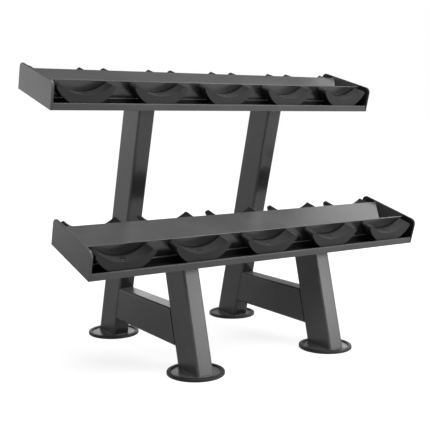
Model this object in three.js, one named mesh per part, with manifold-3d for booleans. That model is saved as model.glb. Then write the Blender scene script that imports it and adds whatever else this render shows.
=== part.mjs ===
// Two-tier dumbbell rack.
// Two side frames of rectangular tube carry two sloping trays. Each tray has a floor plate between a
// front and a rear rail, an end plate at each side, a row of moulded saddles, and a hollow spine that
// runs over the middle of the saddles, so that a dumbbell's handle lies across it and its two heads
// lie in the cup before it and the cup behind it.
//
// Millimetres. +X to the right, +Y to the back, +Z up. The origin is on the floor, under the middle
// of the rack. The front of the rack faces -Y.

import * as THREE from "three";
import { mergeVertices } from "three/addons/utils/BufferGeometryUtils.js";
import Module from "manifold-3d";

// ---------------------------------------------------------------- driving dimensions

const GAP = 0.3; // between two pieces that touch

// Whole rack
const RACK_WIDTH = 1300; // over the two end plates
const LOWER_TRAY_HEIGHT = 380; // floor to the middle of the tray's underside
const UPPER_TRAY_HEIGHT = 864;
const TRAY_TILT = THREE.MathUtils.degToRad(15); // the front edge is the lower one
const TRAY_DEPTH = 280; // along the slope

// End plates
const END_PLATE_HEIGHT = 90;
const END_PLATE_THICKNESS = 8;
const END_PLATE_CORNER = 20; // radius of the two upper corners

// Floor plate and rails
const FLOOR_THICKNESS = 4;
const RAIL_HEIGHT = 22.4;
const RAIL_THICKNESS = 6;
const RAIL_EDGE = 2.5; // radius of the rail's upper outer edge

// Spine: a hollow box on a folded base channel
const SPINE_WIDTH = 158;
const SPINE_HEIGHT = 56;
const SPINE_WALL = 3;
const SPINE_CORNER = 6;
const BASE_WIDTH = 164;
const BASE_HEIGHT = 22;
const BASE_WALL = 3;
const BASE_EDGE = 3; // radius of the channel's folds
const NOTCH_LENGTH = 116; // open corner of the spine's top, at its right end
const NOTCH_DEPTH = 141;
const NOTCH_RIM = 5; // top edge of the front wall that is left before the open corner

// Saddles: one moulding with a front cup, a rear cup and a bridge between them
const SADDLES_PER_TRAY = 5;
const SADDLE_END_CLEARANCE = 8.8; // outer saddle's tip to the end plate
const SADDLE_CLEARANCE = 1; // cup to the rail, and bridge to the base channel's window
const CUP_OUTER_RADIUS = 113.5;
const CUP_OUTER_BOTTOM = 10.5; // lowest point of the round outside, above the tray's underside
const BOWL_RADIUS = 131;
const BOWL_BOTTOM = 46.5; // lowest point of the bowl, above the tray's underside
const CUP_TIP_HEIGHT = 79.5; // inner edge of the cup's two tips, above the tray's underside
const CUP_TIP_DROP = 6; // fall of a tip's end face, from its inner to its outer edge
const CUP_TIP_RADIUS = 7; // on the tip's outer edge
const SADDLE_FOOT_WIDTH = 100; // flat foot under the cups, and the bridge
const BRIDGE_THICKNESS = 13;

// Saddle screw, one in the middle of each front cup
const SCREW_DIAMETER = 8;
const SCREW_HEAD_DIAMETER = 16;
const SCREW_HEAD_HEIGHT = 4.4;
const SCREW_SEAT_DEPTH = 5.5; // counterbore's floor, below the bowl
const SCREW_CLEARANCE = 0.5; // around the shank and the head
const SOCKET_WIDTH = 6; // across the corners of the hexagon socket
const SOCKET_DEPTH = 2.5;

// Side frames
const POST_SPACING = 540; // between the middles of the two side frames
const FOOT_SPAN = 585.2; // front leg to rear upright along the floor, between their middles
const POST_LEAN = THREE.MathUtils.degToRad(15); // leg leans back, upright leans forward
const TUBE_WIDTH = 60;
const TUBE_DEPTH = 120;
const TUBE_WALL = 3;
const TUBE_CORNER = 8;
const BRACE_HEIGHT = 133; // floor to the brace's middle

// Head plates, on top of the legs and uprights, and their bolts
const HEAD_PLATE_THICKNESS = 8;
const HEAD_PLATE_MARGIN = 12; // beyond the tube, in front and behind
const BOLT_OFFSET = 17; // bolt's middle to the side of the tube
const BOLT_EDGE = 16; // bolt's middle to the side of the plate
const BOLT_DIAMETER = 10;
const BOLT_HEAD_DIAMETER = 18;
const BOLT_CLEARANCE = 0.5;
const BOLT_TAIL = 4; // thread beyond the nut
const NUT_WIDTH = 17; // across the flats
const NUT_HEIGHT = 8;

// Feet: a round rubber foot around a steel base plate
const FOOT_DIAMETER = 186;
const FOOT_HEIGHT = 10;
const FOOT_FLOOR = 2; // rubber under the base plate
const FOOT_EDGE = 3;
const BASE_PLATE_DIAMETER = 160;
const BASE_PLATE_THICKNESS = 4;

// Fineness of the round shapes
const FOOT_SIDES = 32;
const BOLT_SIDES = 12;
const CORNER_STEPS = 6; // on a corner
const EDGE_STEPS = 2; // on a small rounded edge
const CUP_STEPS = 8; // on each half of a cup's two arcs

// ---------------------------------------------------------------- derived dimensions

const INNER_HALF_WIDTH = RACK_WIDTH / 2 - END_PLATE_THICKNESS;
const PIECE_HALF_WIDTH = INNER_HALF_WIDTH - GAP;
const RAIL_INSIDE = TRAY_DEPTH / 2 - RAIL_THICKNESS;
const FLOOR_TOP = FLOOR_THICKNESS + GAP;
const BASE_TOP = FLOOR_TOP + BASE_HEIGHT;
const SPINE_BOTTOM = BASE_TOP + GAP;
const SPINE_TOP = SPINE_BOTTOM + SPINE_HEIGHT;

const CUP_OUTER_CENTRE = CUP_OUTER_BOTTOM + CUP_OUTER_RADIUS;
const BOWL_CENTRE = BOWL_BOTTOM + BOWL_RADIUS;
const CUP_CORNER_HEIGHT = CUP_TIP_HEIGHT - CUP_TIP_DROP; // outer edge of a tip
const halfWidthAt = (height, radius, centre) => Math.sqrt(radius ** 2 - (centre - height) ** 2);
const SADDLE_HALF_WIDTH = halfWidthAt(CUP_CORNER_HEIGHT, CUP_OUTER_RADIUS, CUP_OUTER_CENTRE);
const BOWL_HALF_WIDTH = halfWidthAt(CUP_TIP_HEIGHT, BOWL_RADIUS, BOWL_CENTRE);
const CUP_OUTSIDE = RAIL_INSIDE - SADDLE_CLEARANCE; // from the tray's middle line
const CUP_INSIDE = BASE_WIDTH / 2 + GAP;
const CUP_MIDDLE = (CUP_OUTSIDE + CUP_INSIDE) / 2;
const SADDLE_SPREAD = 2 * (INNER_HALF_WIDTH - SADDLE_END_CLEARANCE - SADDLE_HALF_WIDTH);
const SADDLE_PITCH = SADDLE_SPREAD / (SADDLES_PER_TRAY - 1);
const SADDLE_PLACES = Array.from(
  { length: SADDLES_PER_TRAY },
  (_, i) => SADDLE_PITCH * i - SADDLE_SPREAD / 2,
);

const TUBE_HEAD_GAP = HEAD_PLATE_THICKNESS + 2 * GAP; // tray's underside to the tube's end
const POST_PLACES = [-POST_SPACING / 2, POST_SPACING / 2];
const BOLT_PLACE = TUBE_WIDTH / 2 + BOLT_OFFSET; // from the tube's middle
const TUBE_BOTTOM = FOOT_FLOOR + BASE_PLATE_THICKNESS + 2 * GAP;
const FRONT_POST = { foot: -FOOT_SPAN / 2, lean: POST_LEAN };
const REAR_POST = { foot: FOOT_SPAN / 2, lean: -POST_LEAN };

// ---------------------------------------------------------------- finishes

const paint = new THREE.MeshStandardMaterial({ color: 0x55565a, roughness: 0.38, metalness: 0.35 });
const plastic = new THREE.MeshStandardMaterial({ color: 0x2b2b2d, roughness: 0.6, metalness: 0 });
const rubber = new THREE.MeshStandardMaterial({ color: 0x1b1b1c, roughness: 0.7, metalness: 0 });
const zinc = new THREE.MeshStandardMaterial({ color: 0x9a9b9c, roughness: 0.35, metalness: 1 });
const blackSteel = new THREE.MeshStandardMaterial({ color: 0x2a2a2c, roughness: 0.4, metalness: 1 });

// ---------------------------------------------------------------- solids

const wasm = await Module();
wasm.setup();

/** A closed geometry as a solid that can be joined and cut. */
function solid(geometry) {
  const bare = geometry.clone();
  bare.deleteAttribute("normal");
  bare.deleteAttribute("uv");
  const merged = mergeVertices(bare, 1e-4);
  return new wasm.Manifold(
    new wasm.Mesh({
      numProp: 3,
      vertProperties: merged.attributes.position.array,
      triVerts: new Uint32Array(merged.index.array),
    }),
  );
}

/** A solid as a geometry. */
function geometryOf(body) {
  const mesh = body.getMesh();
  const geometry = new THREE.BufferGeometry();
  geometry.setAttribute("position", new THREE.BufferAttribute(mesh.vertProperties, 3));
  geometry.setIndex(new THREE.BufferAttribute(mesh.triVerts, 1));
  const flat = geometry.toNonIndexed();
  flat.computeVertexNormals();
  return flat;
}

/** A closed geometry with others cut out of it. */
function cut(geometry, tools) {
  return geometryOf(tools.reduce((body, tool) => body.subtract(solid(tool)), solid(geometry)));
}

/** Points on an arc about (x, y), from one angle to another, both ends included. */
function arc(x, y, radius, from, to, steps) {
  return Array.from({ length: steps + 1 }, (_, i) => {
    const angle = from + ((to - from) * i) / steps;
    return new THREE.Vector2(x + radius * Math.cos(angle), y + radius * Math.sin(angle));
  });
}

/** A rectangle from corner (x0, y0) to (x1, y1) with rounded lower and upper corners. */
function roundedRectangle(x0, y0, x1, y1, { lower = 0, upper = 0 }) {
  const quarter = Math.PI / 2;
  const corner = (x, y, radius, turn) =>
    radius > 0
      ? arc(x, y, radius, turn * quarter, (turn + 1) * quarter, CORNER_STEPS)
      : [new THREE.Vector2(x, y)];
  return [
    ...corner(x0 + lower, y0 + lower, lower, 2),
    ...corner(x1 - lower, y0 + lower, lower, 3),
    ...corner(x1 - upper, y1 - upper, upper, 0),
    ...corner(x0 + upper, y1 - upper, upper, 1),
  ];
}

/** An outline of (x, y) points drawn up from one height to another. */
function extrudeUp(points, z0, z1) {
  const geometry = new THREE.ExtrudeGeometry(new THREE.Shape(points), {
    depth: z1 - z0,
    bevelEnabled: false,
  });
  return geometry.translate(0, 0, z0);
}

/** An outline of (depth, height) points drawn across the rack from x0 to x1. */
function extrudeAcross(points, x0, x1) {
  const turn = new THREE.Matrix4().makeBasis(
    new THREE.Vector3(0, 1, 0),
    new THREE.Vector3(0, 0, 1),
    new THREE.Vector3(1, 0, 0),
  );
  return extrudeUp(points, x0, x1).applyMatrix4(turn);
}

/** An outline of (width, height) points drawn from front y0 to back y1. */
function extrudeBack(points, y0, y1) {
  return extrudeUp(points, -y1, -y0).rotateX(Math.PI / 2);
}

/** A box between two corners. */
function box(x0, y0, z0, x1, y1, z1) {
  return extrudeUp(roundedRectangle(x0, y0, x1, y1, {}), z0, z1);
}

/** A solid of revolution about a vertical axis, from (radius, height) points. */
function turned(profile, sides) {
  return new THREE.LatheGeometry(profile.map(([r, z]) => new THREE.Vector2(r, z)), sides).rotateX(
    Math.PI / 2,
  );
}

/** A vertical cylinder. */
function cylinder(x, y, z0, z1, diameter, sides = BOLT_SIDES) {
  const profile = [[0, z0], [diameter / 2, z0], [diameter / 2, z1], [0, z1]];
  return turned(profile, sides).translate(x, y, 0);
}

// ---------------------------------------------------------------- pieces of a tray

// A tray's pieces are drawn with the origin in the middle of its underside, X across the rack, Y up
// the slope to the back and Z square to the tray's floor.

/** One end plate, with its outer face at `side` times half the rack's width. */
function endPlate(side) {
  const half = TRAY_DEPTH / 2;
  const outline = roundedRectangle(-half, 0, half, END_PLATE_HEIGHT, { upper: END_PLATE_CORNER });
  const [x0, x1] = [INNER_HALF_WIDTH, RACK_WIDTH / 2].map((x) => x * side).sort((a, b) => a - b);
  return extrudeAcross(outline, x0, x1);
}

/** One rail, a flat bar on edge, at the front (side -1) or the back (side 1) of the tray. */
function rail(side) {
  const outside = TRAY_DEPTH / 2;
  const quarter = Math.PI / 2;
  const outline = [
    new THREE.Vector2(RAIL_INSIDE, 0),
    new THREE.Vector2(outside, 0),
    ...arc(outside - RAIL_EDGE, RAIL_HEIGHT - RAIL_EDGE, RAIL_EDGE, 0, quarter, EDGE_STEPS),
    new THREE.Vector2(RAIL_INSIDE, RAIL_HEIGHT),
  ];
  const bar = extrudeAcross(outline, -PIECE_HALF_WIDTH, PIECE_HALF_WIDTH);
  return side < 0 ? bar.rotateZ(Math.PI) : bar;
}

/** The floor plate between the rails, with holes for the saddle screws and the head bolts. */
function floorPlate() {
  const depth = RAIL_INSIDE - GAP;
  const screwHoles = SADDLE_PLACES.map((x) =>
    cylinder(x, -CUP_MIDDLE, -1, FLOOR_TOP, SCREW_DIAMETER + 2 * SCREW_CLEARANCE),
  );
  const boltHoles = POST_PLACES.flatMap((x) =>
    [-BOLT_PLACE, BOLT_PLACE].map((offset) => boltShape(BOLT_CLEARANCE).translate(x + offset, 0, 0)),
  );
  const plate = box(-PIECE_HALF_WIDTH, -depth, 0, PIECE_HALF_WIDTH, depth, FLOOR_THICKNESS);
  return cut(plate, [...screwHoles, ...boltHoles]);
}

/** The channel under the spine, open below, with a window in each wall for each saddle's bridge. */
function spineBase() {
  const half = BASE_WIDTH / 2;
  const outline = roundedRectangle(-half, FLOOR_TOP, half, BASE_TOP, { upper: BASE_EDGE });
  const channel = extrudeAcross(outline, -PIECE_HALF_WIDTH, PIECE_HALF_WIDTH);
  const inside = half - BASE_WALL;
  const hollow = box(-RACK_WIDTH, -inside, 0, RACK_WIDTH, inside, BASE_TOP - BASE_WALL);
  const window = SADDLE_FOOT_WIDTH / 2 + SADDLE_CLEARANCE;
  const windowTop = FLOOR_TOP + BRIDGE_THICKNESS + SADDLE_CLEARANCE;
  const windows = SADDLE_PLACES.map((x) =>
    box(x - window, -TRAY_DEPTH, 0, x + window, TRAY_DEPTH, windowTop),
  );
  return cut(channel, [hollow, ...windows]);
}

/** The hollow spine. Its top is left open in one corner, beside the right end plate. */
function spine() {
  const half = SPINE_WIDTH / 2;
  const corners = { lower: SPINE_CORNER, upper: SPINE_CORNER };
  const outline = roundedRectangle(-half, SPINE_BOTTOM, half, SPINE_TOP, corners);
  const tube = extrudeAcross(outline, -PIECE_HALF_WIDTH, PIECE_HALF_WIDTH);
  const bore = box(
    -RACK_WIDTH,
    SPINE_WALL - half,
    SPINE_BOTTOM + SPINE_WALL,
    RACK_WIDTH,
    half - SPINE_WALL,
    SPINE_TOP - SPINE_WALL,
  );
  const front = NOTCH_RIM - half;
  const notch = extrudeUp(
    [
      new THREE.Vector2(PIECE_HALF_WIDTH - NOTCH_LENGTH, front),
      new THREE.Vector2(RACK_WIDTH, front),
      new THREE.Vector2(RACK_WIDTH, front + NOTCH_DEPTH),
      new THREE.Vector2(PIECE_HALF_WIDTH, front + NOTCH_DEPTH),
    ],
    SPINE_TOP - 2 * SPINE_WALL,
    SPINE_TOP + SPINE_WALL,
  );
  return cut(tube, [bore, notch]);
}

/** Half of a cup's outline, from the foot over the tip to the bottom of the bowl. */
function halfCupOutline() {
  const down = -Math.PI / 2;
  const corner = new THREE.Vector2(SADDLE_HALF_WIDTH, CUP_CORNER_HEIGHT);
  const inner = new THREE.Vector2(BOWL_HALF_WIDTH, CUP_TIP_HEIGHT);
  const footAngle = down + Math.asin(SADDLE_FOOT_WIDTH / 2 / CUP_OUTER_RADIUS);
  const cornerAngle = down + Math.asin(SADDLE_HALF_WIDTH / CUP_OUTER_RADIUS);
  const shoulderAngle = cornerAngle - CUP_TIP_RADIUS / CUP_OUTER_RADIUS;
  const bowlAngle = down + Math.asin(BOWL_HALF_WIDTH / BOWL_RADIUS);
  const outside = arc(0, CUP_OUTER_CENTRE, CUP_OUTER_RADIUS, footAngle, shoulderAngle, CUP_STEPS);
  const alongEnd = corner.clone().lerp(inner, CUP_TIP_RADIUS / corner.distanceTo(inner));
  const round = new THREE.QuadraticBezierCurve(outside.at(-1), corner, alongEnd);
  return [
    new THREE.Vector2(SADDLE_FOOT_WIDTH / 2, FLOOR_TOP),
    ...outside.slice(0, -1),
    ...round.getPoints(EDGE_STEPS + 1),
    ...arc(0, BOWL_CENTRE, BOWL_RADIUS, bowlAngle, down, CUP_STEPS),
  ];
}

/** A saddle: a cup in front of the spine, one behind it, and the bridge under the spine. */
function saddle() {
  const right = halfCupOutline();
  const left = right
    .slice(0, -1)
    .reverse()
    .map((point) => new THREE.Vector2(-point.x, point.y));
  const outline = [...right, ...left];
  const frontCup = solid(extrudeBack(outline, -CUP_OUTSIDE, -CUP_INSIDE));
  const rearCup = solid(extrudeBack(outline, CUP_INSIDE, CUP_OUTSIDE));
  const half = SADDLE_FOOT_WIDTH / 2;
  const reach = CUP_INSIDE + SADDLE_CLEARANCE;
  const bridge = solid(box(-half, -reach, FLOOR_TOP, half, reach, FLOOR_TOP + BRIDGE_THICKNESS));
  const seat = BOWL_BOTTOM - SCREW_SEAT_DEPTH;
  const headHole = SCREW_HEAD_DIAMETER + 2 * SCREW_CLEARANCE;
  const shankHole = SCREW_DIAMETER + 2 * SCREW_CLEARANCE;
  const counterbore = solid(cylinder(0, -CUP_MIDDLE, seat, CUP_TIP_HEIGHT, headHole));
  const bore = solid(cylinder(0, -CUP_MIDDLE, 0, CUP_TIP_HEIGHT, shankHole));
  return geometryOf(frontCup.add(rearCup).add(bridge).subtract(counterbore).subtract(bore));
}

/** A saddle's screw, with a hexagon socket in its head and its end in the floor plate. */
function saddleScrew() {
  const seat = BOWL_BOTTOM - SCREW_SEAT_DEPTH + GAP;
  const top = seat + SCREW_HEAD_HEIGHT;
  const chamfer = SCREW_HEAD_HEIGHT / 4;
  const profile = [
    [0, GAP],
    [SCREW_DIAMETER / 2, GAP],
    [SCREW_DIAMETER / 2, seat],
    [SCREW_HEAD_DIAMETER / 2, seat],
    [SCREW_HEAD_DIAMETER / 2, top - chamfer],
    [SCREW_HEAD_DIAMETER / 2 - chamfer, top],
    [0, top],
  ];
  const socket = cylinder(0, 0, top - SOCKET_DEPTH, top + 1, SOCKET_WIDTH, 6);
  return cut(turned(profile, BOLT_SIDES), [socket]).translate(0, -CUP_MIDDLE, 0);
}

/** The plate on top of a leg or an upright, bolted under the tray. `slant` is the tube's angle. */
function headPlate(slant) {
  const halfWidth = BOLT_PLACE + BOLT_EDGE;
  const halfDepth = TUBE_DEPTH / 2 / Math.cos(slant) + HEAD_PLATE_MARGIN;
  const bottom = -GAP - HEAD_PLATE_THICKNESS;
  const holes = [-BOLT_PLACE, BOLT_PLACE].map((x) =>
    cylinder(x, 0, bottom - 1, 1, BOLT_DIAMETER + 2 * BOLT_CLEARANCE),
  );
  return cut(box(-halfWidth, -halfDepth, bottom, halfWidth, halfDepth, -GAP), holes);
}

/** A countersunk bolt from the tray's floor to below its nut, made larger all round by `room`. */
function boltShape(room = 0) {
  const tail = -2 * GAP - HEAD_PLATE_THICKNESS - NUT_HEIGHT - BOLT_TAIL;
  const shank = BOLT_DIAMETER / 2 + room;
  const head = BOLT_HEAD_DIAMETER / 2 + room;
  const top = room > 0 ? FLOOR_TOP : FLOOR_THICKNESS;
  const profile = [
    [0, tail],
    [shank, tail],
    [shank, 0],
    [head, FLOOR_THICKNESS],
    ...(top > FLOOR_THICKNESS ? [[head, top]] : []),
    [0, top],
  ];
  return turned(profile, BOLT_SIDES);
}

/** A head bolt, with the nut that holds the head plate to the tray's floor. */
function headBolt() {
  const top = -2 * GAP - HEAD_PLATE_THICKNESS;
  const acrossCorners = NUT_WIDTH / Math.cos(Math.PI / 6);
  const nut = solid(cylinder(0, 0, top - NUT_HEIGHT, top, acrossCorners, 6));
  return geometryOf(solid(boltShape()).add(nut));
}

// ---------------------------------------------------------------- pieces of a side frame

const BACK = new THREE.Vector3(0, 1, 0);
const UP = new THREE.Vector3(0, 0, 1);
const ACROSS = new THREE.Vector3(1, 0, 0);

/** The direction along a post that leans back by `lean`. */
function postAxis(lean) {
  return new THREE.Vector3(0, Math.sin(lean), Math.cos(lean));
}

/** The direction square to a post's rear face. */
function postBack(lean) {
  return new THREE.Vector3(0, Math.cos(lean), -Math.sin(lean));
}

/** The tube's section, with its width along x and its depth along y. */
function tubeSection() {
  const half = [TUBE_WIDTH / 2, TUBE_DEPTH / 2];
  const round = { lower: TUBE_CORNER, upper: TUBE_CORNER };
  const section = new THREE.Shape(roundedRectangle(-half[0], -half[1], half[0], half[1], round));
  const [x, y] = half.map((size) => size - TUBE_WALL);
  const inner = TUBE_CORNER - TUBE_WALL;
  section.holes.push(new THREE.Path(roundedRectangle(-x, -y, x, y, { lower: inner, upper: inner })));
  return section;
}

/** A tube along `axis` through `base`, its ends cut off by the planes `start` and `end`. */
function tube(base, deep, axis, start, end) {
  const geometry = new THREE.ExtrudeGeometry(tubeSection(), { depth: 1, bevelEnabled: false });
  const position = geometry.attributes.position;
  for (let i = 0; i < position.count; i += 1) {
    const point = base.clone();
    point.addScaledVector(ACROSS, position.getX(i));
    point.addScaledVector(deep, position.getY(i));
    const plane = position.getZ(i) > 0.5 ? end : start;
    point.addScaledVector(axis, -plane.distanceToPoint(point) / plane.normal.dot(axis));
    position.setXYZ(i, point.x, point.y, point.z);
  }
  geometry.computeVertexNormals();
  return geometry;
}

/** A post's point on its middle line, at a height above the floor. */
function postPoint(post, x, z) {
  return new THREE.Vector3(x, post.foot + z * Math.tan(post.lean), z);
}

/** The middle of the underside of a tray that a post carries at a height. */
function trayMiddle(post, height) {
  return postPoint(post, 0, height);
}

/** A leg or an upright, from its base plate to the head plate under its tray. */
function postTube(post, x, height) {
  const trayUp = postAxis(-TRAY_TILT);
  const head = trayMiddle(post, height).addScaledVector(trayUp, -TUBE_HEAD_GAP);
  const start = new THREE.Plane().setFromNormalAndCoplanarPoint(UP, new THREE.Vector3(0, 0, TUBE_BOTTOM));
  const end = new THREE.Plane().setFromNormalAndCoplanarPoint(trayUp, head);
  return tube(postPoint(post, x, height / 2), postBack(post.lean), postAxis(post.lean), start, end);
}

/** The level brace from the rear upright's front face to the front leg's rear face. */
function braceTube(x) {
  const faceOf = (post, side) => {
    const normal = postBack(post.lean).multiplyScalar(side);
    const point = postPoint(post, x, BRACE_HEIGHT).addScaledVector(normal, TUBE_DEPTH / 2 + GAP);
    return new THREE.Plane().setFromNormalAndCoplanarPoint(normal, point);
  };
  const base = new THREE.Vector3(x, 0, BRACE_HEIGHT);
  return tube(base, UP, BACK.clone().negate(), faceOf(REAR_POST, -1), faceOf(FRONT_POST, 1));
}

/** The steel disc under a post. */
function basePlate() {
  const bottom = FOOT_FLOOR + GAP;
  const diameter = BASE_PLATE_DIAMETER - 2 * GAP;
  return cylinder(0, 0, bottom, bottom + BASE_PLATE_THICKNESS, diameter, FOOT_SIDES);
}

/** The rubber foot: a shallow cup with a raised rim around the base plate. */
function rubberFoot() {
  const outside = FOOT_DIAMETER / 2;
  const inside = BASE_PLATE_DIAMETER / 2;
  const rim = arc(outside - FOOT_EDGE, FOOT_HEIGHT - FOOT_EDGE, FOOT_EDGE, 0, Math.PI / 2, EDGE_STEPS);
  return turned(
    [
      [0, 0],
      [outside - FOOT_EDGE / 3, 0],
      [outside, FOOT_EDGE / 3],
      ...rim.map((point) => [point.x, point.y]),
      [inside, FOOT_HEIGHT],
      [inside, FOOT_FLOOR],
      [0, FOOT_FLOOR],
    ],
    FOOT_SIDES,
  );
}

// ---------------------------------------------------------------- assembly

/** A named piece in its finish. */
function piece(name, geometry, material) {
  const mesh = new THREE.Mesh(geometry, material);
  mesh.name = name;
  return mesh;
}

/** A tray and what bolts it to the tops of its two posts. */
function trayGroup(tier, post, height) {
  const tray = new THREE.Group();
  tray.add(
    piece(`${tier}_end_plate_left`, endPlate(-1), paint),
    piece(`${tier}_end_plate_right`, endPlate(1), paint),
    piece(`${tier}_front_rail`, rail(-1), paint),
    piece(`${tier}_rear_rail`, rail(1), paint),
    piece(`${tier}_floor_plate`, floorPlate(), paint),
    piece(`${tier}_spine_base`, spineBase(), paint),
    piece(`${tier}_spine`, spine(), paint),
  );
  SADDLE_PLACES.forEach((x, i) => {
    tray.add(
      piece(`${tier}_saddle_${i + 1}`, saddle().translate(x, 0, 0), plastic),
      piece(`${tier}_saddle_screw_${i + 1}`, saddleScrew().translate(x, 0, 0), blackSteel),
    );
  });
  POST_PLACES.forEach((x, i) => {
    const side = i ? "right" : "left";
    const plate = headPlate(post.lean + TRAY_TILT).translate(x, 0, 0);
    tray.add(piece(`${tier}_head_plate_${side}`, plate, paint));
    [-BOLT_PLACE, BOLT_PLACE].forEach((offset, j) => {
      const bolt = headBolt().translate(x + offset, 0, 0);
      tray.add(piece(`${tier}_head_bolt_${side}_${j + 1}`, bolt, zinc));
    });
  });
  tray.rotation.x = TRAY_TILT;
  tray.position.copy(trayMiddle(post, height));
  return tray;
}

/** One side frame: a front leg, a rear upright, the brace between them and two feet. */
function sideFrame(side, x) {
  const frame = new THREE.Group();
  frame.add(
    piece(`${side}_front_leg`, postTube(FRONT_POST, x, LOWER_TRAY_HEIGHT), paint),
    piece(`${side}_rear_upright`, postTube(REAR_POST, x, UPPER_TRAY_HEIGHT), paint),
    piece(`${side}_brace`, braceTube(x), paint),
  );
  [["front", FRONT_POST], ["rear", REAR_POST]].forEach(([end, post]) => {
    const { y } = postPoint(post, x, TUBE_BOTTOM);
    frame.add(
      piece(`${side}_${end}_base_plate`, basePlate().translate(x, y, 0), paint),
      piece(`${side}_${end}_foot`, rubberFoot().translate(x, y, 0), rubber),
    );
  });
  return frame;
}

const rack = new THREE.Group();
rack.add(
  trayGroup("lower", FRONT_POST, LOWER_TRAY_HEIGHT),
  trayGroup("upper", REAR_POST, UPPER_TRAY_HEIGHT),
  sideFrame("left", POST_PLACES[0]),
  sideFrame("right", POST_PLACES[1]),
);

// Put the origin on the floor, under the middle of the rack.
rack.updateMatrixWorld(true);
const bounds = new THREE.Box3().setFromObject(rack, true);
const middle = bounds.getCenter(new THREE.Vector3());
rack.position.set(-middle.x, -middle.y, -bounds.min.z);
rack.updateMatrixWorld(true);

export default rack;
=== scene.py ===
"""A two-tier dumbbell rack: its visible pieces, their finishes and a plain studio around them.

The solid model of the rack gives every piece its place. The pieces made here stand for its solids
with finer shapes. Lengths in the classes are in millimetres, and the scene is in metres.

A tray's pieces are made in the tray's own frame: X across the rack, Y up the slope to the back, Z
square to the tray's floor, with the origin in the middle of the tray's underside.
"""

import logging
import math
from collections.abc import Callable, Iterable, Sequence
from dataclasses import dataclass, field, replace
from enum import Enum
from itertools import pairwise

import bmesh
import bpy
from bmesh.types import BMEdge, BMesh, BMFace, BMVert
from bpy.types import ID, Material, Mesh, Node, NodeSocket, NodeTree, Object
from mathutils import Matrix, Vector

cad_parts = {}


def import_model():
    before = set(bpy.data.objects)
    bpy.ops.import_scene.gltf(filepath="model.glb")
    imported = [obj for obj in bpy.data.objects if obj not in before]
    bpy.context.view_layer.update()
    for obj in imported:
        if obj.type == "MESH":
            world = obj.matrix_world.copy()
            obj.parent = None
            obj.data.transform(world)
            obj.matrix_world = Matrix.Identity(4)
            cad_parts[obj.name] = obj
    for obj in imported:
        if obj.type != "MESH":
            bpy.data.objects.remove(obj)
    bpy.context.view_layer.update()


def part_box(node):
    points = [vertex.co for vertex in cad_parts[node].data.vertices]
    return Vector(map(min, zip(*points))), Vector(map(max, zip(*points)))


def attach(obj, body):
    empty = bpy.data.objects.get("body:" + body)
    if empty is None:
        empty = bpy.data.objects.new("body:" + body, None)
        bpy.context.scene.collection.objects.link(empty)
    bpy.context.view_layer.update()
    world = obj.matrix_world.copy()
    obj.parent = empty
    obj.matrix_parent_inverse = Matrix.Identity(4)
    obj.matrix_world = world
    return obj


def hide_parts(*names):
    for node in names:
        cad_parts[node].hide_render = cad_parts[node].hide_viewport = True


log = logging.getLogger("dumbbell_rack")

MM = 0.001
ROOT = "root"
ALL_ROUND = 2 * math.pi
QUARTER = math.pi / 2
NEAR = 0.1  # millimetres within which two places count as one
ALONG = 0.9  # the least part of a direction along an axis where it counts as running along it
SQUARE = 0.99  # the same, where not even a softened edge counts
UPWARD = 0.5  # the least upward part of a normal where a face counts as looking up
SOFT_TURN = 38.0  # degrees between two faces, up to which the shading runs on
CUT_REACH = 1e-5  # millimetres within which a plane passes through a point
WELD_REACH = 1e-4  # millimetres within which two points become one


class Tier(Enum):
    """One of the rack's two trays."""

    LOWER = "lower"
    UPPER = "upper"


class Opposites(Enum):
    """Two opposite parts of the rack, the lower one on its axis named first."""

    @property
    def sign(self) -> int:
        """Which way along the axis the part lies."""
        return -1 if self is next(iter(type(self))) else 1


class Side(Opposites):
    """The rack's left or right, as its user sees it, along X."""

    LEFT = "left"
    RIGHT = "right"


class End(Opposites):
    """The rack's front or rear, along Y."""

    FRONT = "front"
    REAR = "rear"


class Slot(Enum):
    """The record's material slots."""

    COAT = "powder_coat"
    SADDLE = "saddle_plastic"
    FOOT = "foot_rubber"
    BLACK = "black_steel"
    ZINC = "zinc_steel"


# ------------------------------------------------------------------ finishes


def linear(hex_code: str) -> tuple[float, float, float, float]:
    """Turns an sRGB colour to the linear values that shaders take.

    Args:
        hex_code: the colour as "#rrggbb".

    Returns:
        Red, green, blue and an alpha of 1.
    """
    parts = [int(hex_code[i : i + 2], 16) / 255 for i in (1, 3, 5)]
    red, green, blue = (
        value / 12.92 if value <= 0.04045 else ((value + 0.055) / 1.055) ** 2.4 for value in parts
    )
    return red, green, blue, 1.0


def per_metre(size_mm: float) -> float:
    """A texture node's scale for a pattern whose features are that many millimetres wide."""
    return 1 / (size_mm * MM)


def add_node(
    tree: NodeTree,
    kind: str,
    settings: dict[str, object] | None = None,
    links: dict[str | int, NodeSocket] | None = None,
) -> Node:
    """Adds a node to a material or to the world.

    Args:
        tree: the node tree that it joins.
        kind: the node's type.
        settings: the node's own properties, and values of its inputs by name or number.
        links: the output that feeds each input, by the input's name or number.

    Returns:
        The new node.
    """
    node = tree.nodes.new(kind)
    for key, value in (settings or {}).items():
        if isinstance(key, str) and hasattr(node, key):
            setattr(node, key, value)
        else:
            node.inputs[key].default_value = value
    for key, output in (links or {}).items():
        tree.links.new(output, node.inputs[key])
    return node


def clear_tree(owner: ID) -> NodeTree:
    """Gives a material or a world an empty node tree.

    Args:
        owner: the material or the world.

    Returns:
        Its node tree.
    """
    owner.use_nodes = True
    owner.node_tree.nodes.clear()
    return owner.node_tree


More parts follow.
